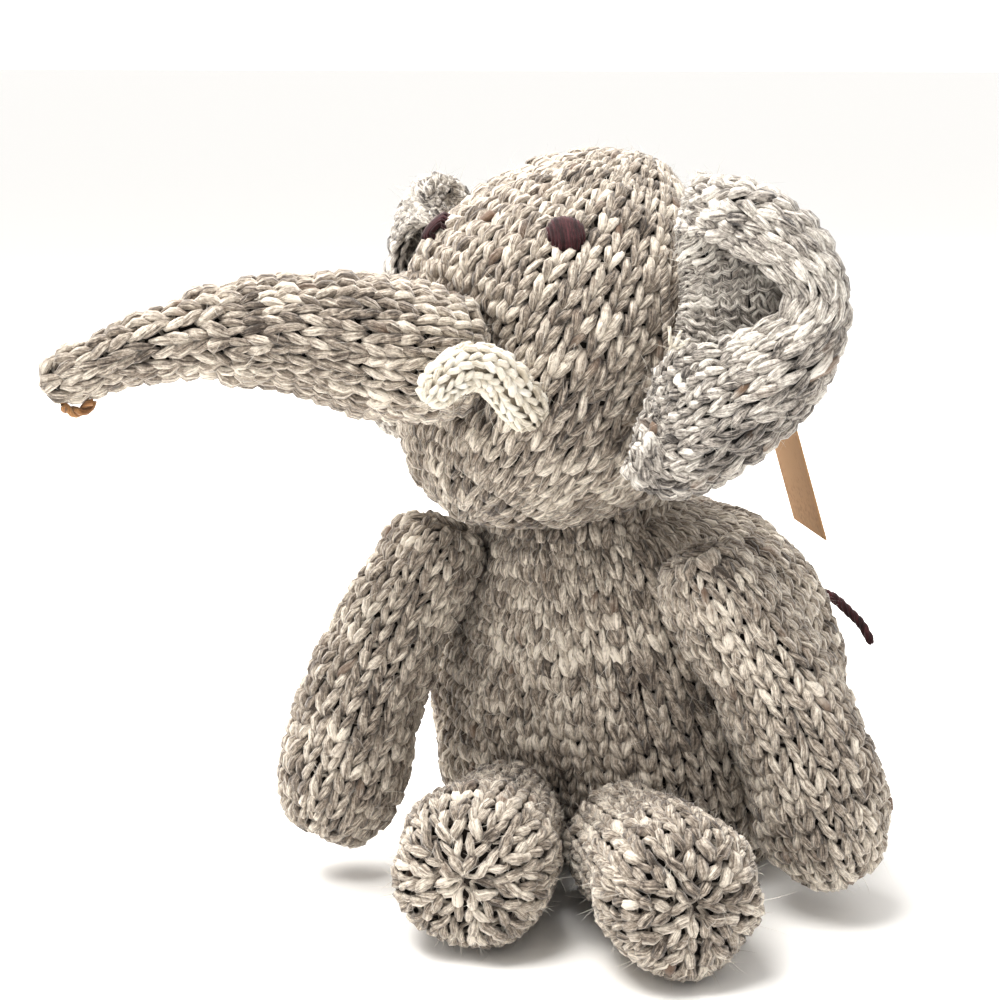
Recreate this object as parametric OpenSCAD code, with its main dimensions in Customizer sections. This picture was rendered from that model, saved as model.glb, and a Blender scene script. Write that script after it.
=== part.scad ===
// Hand-knitted stuffed elephant, sitting, with its head turned to one side.
// Each stuffed part is a knitted cover, open at one end, around its own stuffing.
// Frame: the elephant faces -Y, its left side is +X, up is +Z, and the middle of its flat seat is the origin.
// All sizes are in millimetres.

/* [Knitting] */
// Thickness of the knitted fabric
fabric_t = 3; // [2:0.25:4]
// Thickness of the sewing yarn
yarn_d = 2.6; // [2:0.1:3.2]
// Clearance between two pieces that move against each other
joint_gap = 0.6; // [0.4:0.1:1]

/* [Torso] */
// Width of the belly
torso_w = 124; // [104:1:149]
// Depth of the belly, front to back
torso_d = 108; // [90:1:130]
// Height from the seat to the neck
torso_h = 100; // [86:1:120]
// Height of the widest part of the belly
belly_z = 33; // [28:1:40]
// Width of the flat that the elephant sits on
seat_w = 86; // [70:1:96]
// Width of the neck opening, where the head is sewn on
neck_w = 44; // [36:1:50]
// How far the neck sits forward of the seat's middle
neck_forward = 20; // [0:1:24]
// How far the neck sits to the elephant's right of the seat's middle
neck_side = 10; // [0:1:14]

/* [Head] */
// Width of the head
head_w = 88; // [76:1:104]
// Depth of the head, without the trunk
head_d = 92; // [80:1:108]
// Height of the head
head_h = 97; // [84:1:114]
// How far the head is turned to the elephant's right
head_turn = 22; // [0:1:30]
// How far the head nods forward
head_nod = 5; // [0:1:8]
// How far the crown leans back and the jaw comes forward
head_lean = 12; // [0:1:14]

/* [Trunk] */
// Length of the trunk from its root to its tip
trunk_len = 97; // [90:1:130]
// Width of the trunk at its root
trunk_root_w = 38; // [32:1:42]
// Width of the trunk near its tip
trunk_tip_w = 14; // [12:1:18]
// Height of the trunk's root above the neck
trunk_z = 52; // [44:1:60]
// How far the trunk swings to the elephant's right of the nose
trunk_swing = 30; // [0:1:35]

/* [Arms] */
// Width of an arm at the shoulder
arm_w = 31; // [26:1:36]
// Width of an arm at the hand
hand_w = 37; // [32:1:42]
// How far to the side of the seat's middle the left hand hangs
left_hand_side = 72; // [66:1:84]
// How far forward of the seat's middle the left hand hangs
left_hand_forward = 35; // [28:1:42]
// How far to the side of the seat's middle the right hand hangs
right_hand_side = 60; // [54:1:70]
// How far forward of the seat's middle the right hand hangs
right_hand_forward = 72; // [64:1:78]

/* [Legs] */
// Width of a leg at the hip
hip_w = 33; // [28:1:36]
// Width of a foot
foot_w = 43; // [36:1:46]
// Length of a leg from the middle of the hip to the sole
leg_len = 55; // [48:1:66]
// Distance between the middles of the hips
hip_spread = 37; // [36:1:48]
// How far the pair of legs sits to the elephant's left
legs_side = 6; // [0:1:10]
// How far the left leg points to the elephant's left
left_leg_turn = 43; // [0:1:46]
// How far the right leg points to the elephant's left
right_leg_turn = 17; // [-10:1:28]

/* [Ears] */
// Length of the ear's sewn edge
ear_root = 46; // [38:1:55]
// Length of the ear's fabric from the sewn edge to the rolled rim
ear_len = 73; // [61:1:87]

/* [Tusks, eyes, tail and tag] */
// Length of a tusk
tusk_len = 33; // [28:1:39]
// Thickness of a tusk
tusk_w = 9; // [7.5:0.5:10.5]
// Width of an embroidered eye
eye_w = 10.5; // [8.5:0.5:12.5]
// Thickness of the tail's cord
tail_d = 3.6; // [3:0.1:4.2]
// Width of the swing tag
tag_w = 30; // [25:1:36]
// Length of the swing tag
tag_len = 42; // [36:1:50]

/* [Hidden] */

wool = [0.66, 0.63, 0.59];
wool_dark = [0.50, 0.47, 0.44];
fleece = [0.93, 0.92, 0.88];
cream = [0.90, 0.86, 0.76];
maroon = [0.16, 0.06, 0.06];
kraft = [0.68, 0.50, 0.34];

round_n = 44;    // sides of the torso and the head
sag = 1.3;       // allowance for the flat facets of the dented places
limb_n = 16;     // sides of a limb
seat_share = seat_w / torso_w;
neck_share = neck_w / torso_w;

// ---- points and turns ----
function unit(v) = v / norm(v);
function turn_z(p, a) = [p[0] * cos(a) - p[1] * sin(a), p[0] * sin(a) + p[1] * cos(a), p[2]];
function turn_x(p, a) = [p[0], p[1] * cos(a) - p[2] * sin(a), p[1] * sin(a) + p[2] * cos(a)];
// p moved out of the far side of a ball, along w
function dent(p, centre, r, w) = let (v = p - centre, d = norm(v))
  d < r ? let (t = v * w) p + w * (sqrt(t * t - d * d + r * r) - t) : p;
// balls are [centre, radius, direction]
function dents(p, balls, extra, i = 0) =
  i == len(balls) ? p : dents(dent(p, balls[i][0], balls[i][1] + extra, balls[i][2]), balls, extra, i + 1);

// ---- a closed skin through rings of points ----
module ring_skin(rings) {
  n = len(rings[0]);
  last = len(rings) - 1;
  // each four-sided patch is split along its shorter diagonal
  sides = [for (i = [0 : last - 1], j = [0 : n - 1])
    let (k = (j + 1) % n, a = i * n + j, b = i * n + k,
         short = norm(rings[i + 1][j] - rings[i][k]) < norm(rings[i][j] - rings[i + 1][k]))
    each (short ? [[a, a + n, b], [b, a + n, b + n]] : [[a, b + n, b], [a, a + n, b + n]])];
  polyhedron(
    points = [for (r = rings) each r],
    faces = concat([[for (j = [0 : n - 1]) j]], sides, [[for (j = [n - 1 : -1 : 0]) last * n + j]])
  );
}
function backwards(list) = [for (i = [len(list) - 1 : -1 : 0]) list[i]];
function turned(rings) = [for (r = rings) backwards(r)];

// ---- torso: a pear with a flat seat, open at the neck ----
// phi runs from 0 at the seat through 90 at the belly to 180 at the neck
low_steps = 8;
high_steps = 9;
torso_phis = concat([for (i = [0 : low_steps]) 90 * i / low_steps],
                    [for (i = [1 : high_steps]) 90 + 90 * i / high_steps]);
function torso_share(phi) = phi <= 90 ? seat_share + (1 - seat_share) * sin(phi)
                                      : neck_share + (1 - neck_share) * pow(max(0, sin(phi)), 0.72);
function torso_z(phi) = phi <= 90 ? belly_z * (1 - cos(phi)) : belly_z - (torso_h - belly_z) * cos(phi);
// the torso's upper half leans to the neck, and its back stands higher than its chest
function torso_lean(phi) = phi <= 90 ? 0 : pow((phi - 90) / 90, 3);
// a point of the torso's skin at azimuth a, or one inset into it
function torso_point(a, phi, inset = 0) =
  let (x = (torso_w / 2 * torso_share(phi) - inset * sin(phi)) * cos(a),
       y = (torso_d / 2 * torso_share(phi) - inset * sin(phi)) * sin(a))
  [x - neck_side * torso_lean(phi), y - neck_forward * torso_lean(phi), torso_z(phi) + inset * cos(phi)];
function torso_normal(a, phi) = unit(cross(torso_point(a + 1, phi) - torso_point(a - 1, phi),
                                           torso_point(a, phi + 1) - torso_point(a, phi - 1)));

// ---- where the limbs are sewn on ----
limb_sink = 4;                    // how deep a limb's round end presses into the torso
shoulder_phi = 137;
shoulder_a = 46;                  // the shoulders sit this far forward of the sides
arm_r = arm_w / 2;
hip_r = hip_w / 2;
function shoulder(side) =
  let (a = side > 0 ? -shoulder_a : 180 + shoulder_a)
  torso_point(a, shoulder_phi) + torso_normal(a, shoulder_phi) * (arm_r - limb_sink);
hip_z = hip_r + 1.5;
hip_y = -torso_d / 2 * sqrt(1 - pow(hip_spread / torso_w, 2)) - hip_r + limb_sink + 4;
function hip(side) = [side * hip_spread / 2 + legs_side, hip_y, hip_z];

// ---- head: its own frame has the neck's middle as origin and the face towards -Y ----
head_mid = head_h * 0.49;
head_steps = 15;
head_low = 3.0;                   // the jaw is squarer than the crown
head_high = 2.15;
function bulge(s, e) = pow(max(0, 1 - pow(abs(s), e)), 1 / e);
head_neck_s = pow(1 - pow(neck_w / head_w, head_low), 1 / head_low);
head_heights = [for (i = [0 : head_steps]) let (t = i / head_steps) -head_neck_s + (0.996 + head_neck_s) * (3 * t * t - 2 * t * t * t) * 0.55
                + (0.996 + head_neck_s) * 0.45 * t];
function head_share(s) = bulge(s, s < 0 ? head_low : head_high);
function head_height(s) = s < 0 ? head_mid * (1 + s / head_neck_s) : head_mid + (head_h - head_mid) * s;
function head_centre_y(s) = head_lean * (s < 0 ? 0.75 * (bulge(s, 2) - 1) + 0.1 : 1.6 * s * s) - head_lean * 0.55;
function head_point(a, s, inset = 0) =
  let (f = head_share(s))
  [(head_w / 2 * f - inset * sqrt(f)) * cos(a),
   (head_d / 2 * f - inset * sqrt(f)) * sin(a) + head_centre_y(s),
   head_height(s) - inset * s];
// from the head's frame into the elephant's
neck_gap = 2.2;                   // the squashed fabric of the neck, which the head nods on
neck = [-neck_side, -neck_forward, torso_h + neck_gap];
function placed(p) = turn_z(turn_x(p, head_nod), -head_turn) + neck;
module on_head() {
  translate(neck) rotate([0, 0, -head_turn]) rotate([head_nod, 0, 0]) children();
}

// ---- trunk ----
trunk_r = trunk_root_w / 2;
trunk_sink = 16;
trunk_root = [5, head_centre_y(0) - head_d / 2 - trunk_r + trunk_sink, trunk_z];
trunk_rise = 7;                   // the trunk arches this much above a straight line
trunk_droop = 9;                 // and its tip hangs this much below it

// ---- the skin of a limb that starts as a ball at its own origin and runs along +X ----
// stations are [distance along, height, radius]
function heading(st, i) = let (a = st[max(0, i - 1)], b = st[min(len(st) - 1, i + 1)])
  unit([b[0] - a[0], b[1] - a[1]]);
function limb_ring(st, i, n) = let (d = heading(st, i), c = st[i])
  [for (j = [0 : n - 1]) let (a = 360 * j / n)
    [c[0] - d[1] * c[2] * sin(a), c[2] * cos(a), c[1] + d[0] * c[2] * sin(a)]];
function limb_rings(st, n = limb_n) = [for (i = [0 : len(st) - 1]) limb_ring(st, i, n)];

hole_share = 0.62;                // the hole that the stuffing goes in through, as a share of the ball's radius
function ball_stations(r, steps = 4) =
  let (start = 180 - asin(hole_share))
  [for (i = [0 : steps - 1]) let (a = start + (90 - start) * i / steps) [r * cos(a), 0, r * sin(a)]];
// a limb: a ball of radius r0, widening to r1 and bowed, with a blunt round end at its length
function plain_stations(r0, r1, length, blunt, bow, steps = 6) =
  concat(ball_stations(r0),
         [for (i = [0 : steps]) let (t = i / steps, w = t * t * (3 - 2 * t))
           [(length - blunt) * t, bow * sin(180 * t), r0 + (r1 - r0) * w]],
         [for (i = [1 : 4]) let (a = 90 * i / 4) [length - blunt + blunt * sin(a), 0, max(1.2, r1 * cos(a))]]);
// the trunk's line arches up and then droops, and its width falls away to the tip
trunk_steps = 11;
function trunk_line(t) = [trunk_len * t, trunk_rise * sin(180 * t) - trunk_droop * pow(t, 4)];
function trunk_stations(r0, r1, length) =
  concat(ball_stations(r0),
         [for (i = [0 : trunk_steps]) let (t = i / trunk_steps, p = trunk_line(t * (1 - r1 / length)))
           [p[0], p[1], r1 + (r0 - r1) * pow(cos(90 * t), 1.8)]],
         [for (i = [1 : 3]) let (a = 90 * i / 3, p = trunk_line(1 - r1 / length * (1 - sin(a))))
           [p[0], p[1], max(1, r1 * cos(a))]]);
// stations of the same limb, moved in by the fabric's thickness
function inset(st, by) = [for (i = [0 : len(st) - 1]) let (last = len(st) - 1, d = heading(st, i))
  [st[i][0] - (i > last - 2 ? d[0] * by * (i - last + 2) / 2 : 0),
   st[i][1] - (i > last - 2 ? d[1] * by * (i - last + 2) / 2 : 0),
   max(0.6, i == 0 ? st[i][2] : st[i][2] - by)]];

module limb_cover(st, n = limb_n) {
  color(wool)
    ring_skin(concat(backwards(limb_rings(opened(inset(st, fabric_t)), n)), limb_rings(st, n)));
}
module limb_stuffing(st, n = limb_n) {
  color(fleece) ring_skin(limb_rings(opened(inset(st, fabric_t)), n));
}
// the fill hole's wall: the inside starts a fabric thickness further along than the outside
function opened(st) = concat([[st[0][0] + fabric_t, st[0][1], st[0][2]]],
                             [for (i = [1 : len(st) - 1]) if (st[i][0] > st[0][0] + fabric_t) st[i]]);
// the yarn that draws the fill hole shut and sews the limb on
module seam_yarn(r) {
  ring_r = 0.34 * r;
  back = r - yarn_d / 2 - 0.15;
  color(wool_dark) translate([-sqrt(back * back - ring_r * ring_r), 0, 0]) rotate([0, 90, 0])
    rotate_extrude($fn = 32) translate([ring_r, 0]) circle(d = yarn_d, $fn = 24);
}

// ---- torso ----
head_ball_r = 62;                 // the hollow between the shoulders that the head rests in
arm_bow = 5;                      // the arms bend this much around the belly
// balls along a limb, a little larger than it, that press a hollow into the torso
function pressed(from, to, r0, r1, bow, n) =
  let (d = to - from, out = unit([d[0], d[1], 0]), rise = unit(cross(cross(out, [0, 0, 1]), d)))
  [for (i = [0 : n]) let (t = i / n, c = from + d * t + rise * bow * sin(180 * t))
    [c, r0 + (r1 - r0) * t * t * (3 - 2 * t) + joint_gap + sag, unit([-c[0], -c[1], 0])]];
limb_balls = concat(
  pressed(shoulder(1), hand(1), arm_r, hand_w / 2, arm_bow, 6),
  pressed(shoulder(-1), hand(-1), arm_r, hand_w / 2, arm_bow, 6),
  pressed(hip(1), hip(1) + (foot(1) - hip(1)) * 0.3, hip_r, hip_r + 1, 0, 1),
  pressed(hip(-1), hip(-1) + (foot(-1) - hip(-1)) * 0.3, hip_r, hip_r + 1, 0, 1)
);
function torso_ring(phi, inset) = [for (j = [0 : round_n - 1])
  dents(torso_point(360 * (j + 0.5) / round_n, phi, inset), limb_balls, inset)];
function torso_rings(inset) = [for (phi = torso_phis) torso_ring(phi, inset)];
module torso_cover() {
  color(wool) ring_skin(turned(concat(torso_rings(fabric_t), backwards(torso_rings(0)))));
}
module torso_stuffing() {
  color(fleece) ring_skin(torso_rings(fabric_t));
}
module neck_seam_yarn() {
  color(wool_dark) translate([neck[0], neck[1], torso_h - yarn_d / 2])
    rotate_extrude($fn = 48) translate([neck_w / 2 * min(1, torso_d / torso_w) - yarn_d / 2 - 0.4, 0])
      circle(d = yarn_d, $fn = 24);
}

// ---- head ----
trunk_balls = [for (a = [-18, -6, 6], t = [0 : 3])
  [trunk_root + turn_z([0, -1, 0], a - trunk_swing) * t * 6, trunk_r + joint_gap + sag, [0, 1, 0]]];
function head_ring(s, inset) = [for (j = [0 : round_n - 1])
  placed(dents(head_point(360 * (j + 0.5) / round_n, s, inset), trunk_balls, inset))];
function head_rings(inset) = [for (s = head_heights) head_ring(s, inset)];
module head_cover() {
  color(wool) ring_skin(concat(backwards(head_rings(fabric_t)), head_rings(0)));
}
module head_stuffing() {
  color(fleece) ring_skin(head_rings(fabric_t));
}

// ---- trunk ----
module along_trunk() {
  on_head() translate(trunk_root) rotate([0, 0, -90 - trunk_swing]) rotate([0, -head_nod, 0]) children();
}
module trunk_cover() { along_trunk() limb_cover(trunk_stations(trunk_r, trunk_tip_w / 2, trunk_len)); }
module trunk_stuffing() { along_trunk() limb_stuffing(trunk_stations(trunk_r, trunk_tip_w / 2, trunk_len)); }
module trunk_seam_yarn() { along_trunk() seam_yarn(trunk_r); }

// ---- arms and legs ----
// puts a limb's ball at a and runs it towards b
module between(a, b) {
  d = b - a;
  translate(a) rotate([0, 90 - acos(-d[2] / norm(d)), atan2(d[1], d[0])]) rotate([0, 0, 0]) children();
}
function hand(side) = side > 0 ? [left_hand_side, -left_hand_forward, hand_w / 2 + 3]
  : [-right_hand_side, -right_hand_forward, hand_w / 2 + 3];
hand_blunt = 16;
function arm_len(side) = norm(hand(side) - shoulder(side)) + hand_blunt * 0.75;
function arm_stations(side) = plain_stations(arm_r, hand_w / 2, arm_len(side), hand_blunt, arm_bow);
module arm(side) { between(shoulder(side), hand(side)) children(); }
foot_blunt = 11;
function foot(side) = let (a = side > 0 ? left_leg_turn : right_leg_turn)
  hip(side) + [leg_len * sin(a), -leg_len * cos(a), foot_w / 2 - hip_z + 1.4];
leg_stations = plain_stations(hip_r, foot_w / 2, leg_len, foot_blunt, 0);
module leg(side) { between(hip(side), foot(side)) children(); }

module left_shoulder_yarn() { arm(1) seam_yarn(arm_r); }
module left_arm_cover() { arm(1) limb_cover(arm_stations(1)); }
module left_arm_stuffing() { arm(1) limb_stuffing(arm_stations(1)); }
module right_shoulder_yarn() { arm(-1) seam_yarn(arm_r); }
module right_arm_cover() { arm(-1) limb_cover(arm_stations(-1)); }
module right_arm_stuffing() { arm(-1) limb_stuffing(arm_stations(-1)); }
module left_hip_yarn() { leg(1) seam_yarn(hip_r); }
module left_leg_cover() { leg(1) limb_cover(leg_stations); }
module left_leg_stuffing() { leg(1) limb_stuffing(leg_stations); }
module right_hip_yarn() { leg(-1) seam_yarn(hip_r); }
module right_leg_cover() { leg(-1) limb_cover(leg_stations); }
module right_leg_stuffing() { leg(-1) limb_stuffing(leg_stations); }

// ---- ears: fabric that fans out from the sewn edge and rolls forward at its rim ----
ear_back = 43;                    // how far the ears fold back from the head's sides
ear_z = 58;
ear_t = fabric_t;
ear_fan = 9;                      // steps around the fan
// sector directions, from the top corner round to the bottom corner
function ear_angle(i) = 82 - 166 * i / ear_fan;
function ear_reach(i) = ear_len * (0.585 - 0.16 * pow(max(0, sin(ear_angle(i))), 3));
// the fan's profile, out from the root and then rolled forward: [distance out, distance forward, its heading]
roll_steps = 6;
function ear_profile(reach) =
  let (q = reach * 0.25, flat = reach - q)
  concat([[2.5, 0, 0], [flat * 0.5, 0, 0]],
         [for (k = [0 : roll_steps]) let (a = 180 * k / roll_steps) [flat + q * sin(a), q - q * cos(a), a]],
         [[flat - q * 0.9, 2 * q, 180]]);
// one sector's ring: the front side of the fabric and then the back side
function ear_ring(i) =
  let (e = ear_angle(i), root = [0, 0, ear_root * (0.42 - 0.84 * i / ear_fan)],
       base = ear_reach(i) - abs(root[2]) * abs(sin(e)) * 0.8, line = ear_profile(base))
  concat([for (p = line) root + ear_place(p, e, ear_t / 2)],
         [for (k = [len(line) - 1 : -1 : 0]) root + ear_place(line[k], e, -ear_t / 2)]);
function ear_place(p, e, off) =
  let (out = p[0] - off * sin(p[2]), fwd = p[1] + off * cos(p[2])) [out * cos(e), -fwd, out * sin(e)];
ear_at = [head_w / 2 + ear_t / 2 + 1.6, head_centre_y(0.2), ear_z];
module on_ear(side) {
  on_head() mirror([side > 0 ? 0 : 1, 0, 0]) translate(ear_at) rotate([-14, 0, 0]) rotate([0, 0, ear_back]) children();
}
module ear(side) {
  color([0.70, 0.68, 0.66]) on_ear(side) ring_skin(turned([for (i = [0 : ear_fan]) ear_ring(i)]));
}
module ear_yarn(side) {
  color(wool_dark) on_head() mirror([side > 0 ? 0 : 1, 0, 0])
    translate([ear_at[0] - ear_t / 2 - 0.7, ear_at[1], ear_z]) {
    cylinder(h = ear_root * 0.7, d = 1.2, center = true, $fn = 24);
  }
}
module left_ear() { ear(1); }
module right_ear() { ear(-1); }
module left_ear_yarn() { ear_yarn(1); }
module right_ear_yarn() { ear_yarn(-1); }

// ---- tusks: small knitted tubes that arch up and forward from the cheeks ----
tusk_r = tusk_w / 2;
tusk_z = 33;
tusk_a = 46;                      // how far round each cheek the tusks sit
tusk_steps = 8;
tusk_s = -head_neck_s * (1 - tusk_z / head_mid);
tusk_root = head_point(-90 + tusk_a, tusk_s) + [sin(tusk_a), -cos(tusk_a), 0] * (tusk_r + joint_gap);
function tusk_line(t) = [tusk_len * 0.86 * t, tusk_len * 0.34 * sin(150 * t)];
tusk_stations = concat(
  [for (i = [1 : 3]) let (a = 180 - 30 * i + 5) [tusk_r * cos(a), 0, tusk_r * sin(a)]],
  [for (i = [1 : tusk_steps]) let (t = i / tusk_steps, p = tusk_line(t * 0.88)) [p[0], p[1], tusk_r * (1 - 0.16 * t)]],
  [for (i = [1 : 3]) let (a = 85 * i / 3, p = tusk_line(0.88 + 0.12 * sin(a))) [p[0], p[1], tusk_r * 0.84 * cos(a)]]);
module tusk(side) {
  color(cream) on_head() mirror([side > 0 ? 0 : 1, 0, 0])
    translate(tusk_root) rotate([0, 0, -90 + tusk_a * 0.3]) rotate([0, -8, 0]) ring_skin(limb_rings(tusk_stations, 12));
}
module left_tusk() { tusk(1); }
module right_tusk() { tusk(-1); }

// ---- eyes: domes of satin stitch ----
eye_a = 49;                       // how far the eyes sit from the middle of the face
eye_s = 0.66;
eye_t = 2.4;
eye_root = head_point(-90 + eye_a, eye_s);
eye_tip = atan2(norm([head_point(-90 + eye_a, eye_s + 0.02)[0] - head_point(-90 + eye_a, eye_s - 0.02)[0],
                      head_point(-90 + eye_a, eye_s + 0.02)[1] - head_point(-90 + eye_a, eye_s - 0.02)[1]]),
                head_point(-90 + eye_a, eye_s + 0.02)[2] - head_point(-90 + eye_a, eye_s - 0.02)[2]);
module eye(side) {
  color(maroon) on_head() mirror([side > 0 ? 0 : 1, 0, 0])
    translate(eye_root) rotate([0, 0, -90 + eye_a]) rotate([0, 90 - eye_tip, 0]) translate([0, 0, 0.45])
    rotate_extrude($fn = 40)
      polygon(concat([[0, 0]], [for (i = [0 : 8]) [eye_w / 2 * cos(90 * i / 8), eye_t * sin(90 * i / 8) + 0.2 * (1 - i / 8)]]));
}
module left_eye() { eye(1); }
module right_eye() { eye(-1); }

// ---- tail: a soft cord that curls round to the elephant's left ----
tail_a = 74;
tail_phi = 117;
tail_sides = 10;
function bez(p, t) = len(p) == 1 ? p[0] : bez([for (i = [0 : len(p) - 2]) p[i] * (1 - t) + p[i + 1] * t], t);
function cord_ring(p, t, r) =
  let (d = unit(bez(p, min(1, t + 0.01)) - bez(p, max(0, t - 0.01))), x = unit(cross(d, [0.1, 0.2, 1])), y = cross(x, d))
  [for (j = [0 : tail_sides - 1]) bez(p, t) + r * (x * cos(360 * j / tail_sides) + y * sin(360 * j / tail_sides))];
tail_out = torso_normal(tail_a, tail_phi);
tail_root = torso_point(tail_a, tail_phi) + tail_out * 0.5;
tail_path = [tail_root, tail_root + tail_out * 13, tail_root + [22, 17, -1], tail_root + [33, 13, -8], tail_root + [37, 9, -17]];
module tail() {
  color(maroon) ring_skin(turned([for (i = [0 : 12]) cord_ring(tail_path, i / 12, tail_d / 2)]));
}

// ---- swing tag: a folded card on a thread that is tied through the back of the neck ----
tag_turn = 38;                    // the way the card faces
tag_tilt = 17;
card_t = 0.5;
card_open = 5;
tag_hole = 4;
thread_d = 1.2;
tag_at = [torso_w * 0.215, torso_d * 0.375, torso_h + 20];
module on_tag() { translate(tag_at) rotate([0, 0, tag_turn]) rotate([0, -tag_tilt, 0]) children(); }
module swing_tag() {
  color(kraft) on_tag() difference() {
    translate([0, 0, 5 - tag_len]) linear_extrude(height = tag_len)
      translate([0, -tag_w / 2]) union() {
        square([card_t, tag_w]);
        rotate(-card_open) square([card_t, tag_w]);
      }
    translate([-1, 0, 0]) rotate([0, 90, 0]) cylinder(h = 8, d = tag_hole, $fn = 32);
  }
}
function on_tag_point(p) = let (q = [p[0] * cos(tag_tilt) - p[2] * sin(tag_tilt), p[1], p[0] * sin(tag_tilt) + p[2] * cos(tag_tilt)])
  tag_at + turn_z(q, tag_turn);
knot = [neck[0] + neck_w * 0.62, neck[1] + neck_w * 0.85, torso_h + 1.6];
thread_points = [
  knot + [1.4, -0.9, 0], on_tag_point([-10, -1.6, 3]), on_tag_point([-4, 0, 0]), on_tag_point([4, 0, 0]),
  on_tag_point([6, 0, 4]), on_tag_point([3, 0, 8]), on_tag_point([-3, 0, 8]), on_tag_point([-10, 1.6, 7]),
  knot + [-1.4, 0.9, 0.6]
];
// a smooth line past the points
function spline(p, k, u) = ((1 - u) * (1 - u) * p[k] + (1 + 2 * u - 2 * u * u) * p[k + 1] + u * u * p[k + 2]) / 2;
thread_line = [for (k = [0 : len(thread_points) - 3], u = [0 : 0.25 : 0.8]) spline(thread_points, k, u)];
function thread_ring(i) = let (d = unit(thread_line[min(len(thread_line) - 1, i + 1)] - thread_line[max(0, i - 1)]),
                               x = unit(cross(d, [0.3, 1, 0.2])), y = cross(x, d))
  [for (j = [0 : 7]) thread_line[i] + thread_d / 2 * (x * cos(45 * j) + y * sin(45 * j))];
module tag_loop() {
  color([0.78, 0.74, 0.66]) ring_skin(turned([for (i = [0 : len(thread_line) - 1]) thread_ring(i)]));
}

torso_cover();
torso_stuffing();
neck_seam_yarn();
head_cover();
head_stuffing();
trunk_seam_yarn();
trunk_cover();
trunk_stuffing();
left_shoulder_yarn();
left_arm_cover();
left_arm_stuffing();
right_shoulder_yarn();
right_arm_cover();
right_arm_stuffing();
left_hip_yarn();
left_leg_cover();
left_leg_stuffing();
right_hip_yarn();
right_leg_cover();
right_leg_stuffing();
left_ear();
right_ear();
left_ear_yarn();
right_ear_yarn();
left_tusk();
right_tusk();
left_eye();
right_eye();
tail();
tag_loop();
swing_tag();
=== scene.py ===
import bpy
import math
import numpy as np
from mathutils import Matrix, Vector
from mathutils.bvhtree import BVHTree


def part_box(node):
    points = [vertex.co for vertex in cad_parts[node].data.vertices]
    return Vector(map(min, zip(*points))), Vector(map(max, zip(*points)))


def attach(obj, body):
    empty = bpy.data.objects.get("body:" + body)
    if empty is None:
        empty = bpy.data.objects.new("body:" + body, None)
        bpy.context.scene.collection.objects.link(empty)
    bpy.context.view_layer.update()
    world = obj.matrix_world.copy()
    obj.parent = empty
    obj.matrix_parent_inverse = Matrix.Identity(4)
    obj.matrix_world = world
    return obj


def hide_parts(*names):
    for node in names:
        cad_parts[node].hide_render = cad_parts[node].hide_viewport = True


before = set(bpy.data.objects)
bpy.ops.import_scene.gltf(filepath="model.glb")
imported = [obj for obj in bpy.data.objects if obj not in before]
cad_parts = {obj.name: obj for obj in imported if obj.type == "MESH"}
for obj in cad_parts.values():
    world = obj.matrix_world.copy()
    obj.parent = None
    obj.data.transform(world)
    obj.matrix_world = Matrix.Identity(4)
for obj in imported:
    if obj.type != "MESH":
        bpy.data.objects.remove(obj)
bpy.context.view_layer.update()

# ---- Camera -------------------------------------------------------------------------------------
# Eye height of someone sitting at the same table, a little to the elephant's right of its chest.
bpy.ops.object.select_all(action="DESELECT")
looked_at = Vector((-0.036, -0.019, 0.099))
side_turn, look_down, camera_away = math.radians(28), math.radians(12), 0.600
toward_camera = Vector((math.sin(side_turn) * math.cos(look_down),
                        -math.cos(side_turn) * math.cos(look_down), math.sin(look_down)))
bpy.ops.object.camera_add(location=looked_at + toward_camera * camera_away)
camera = bpy.context.object
camera.name = "camera"
camera.rotation_euler = toward_camera.to_track_quat("Z", "Y").to_euler()
camera.data.lens = 74.5
camera.data.sensor_width = 36
camera.data.clip_start = 0.02
bpy.context.scene.camera = camera

# ---- Torso --------------------------------------------------------------------------------------
# The largest piece: a bag of stockinette in marled handspun wool, stuffed with fibre. It is closed
# under the seat and gathered at the neck, and every other piece is sewn to it.
yarn_width = 0.0027
stitch_depth = 0.0022       # how far the middle of the stitches lies off the stuffing
bag_sink = 0.0014           # how far the filled bag lies under that
yarn_points = 12            # points along the yarn of one stitch


def unit(v):
    return v / np.maximum(np.linalg.norm(v, axis=-1, keepdims=True), 1e-12)


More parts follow.
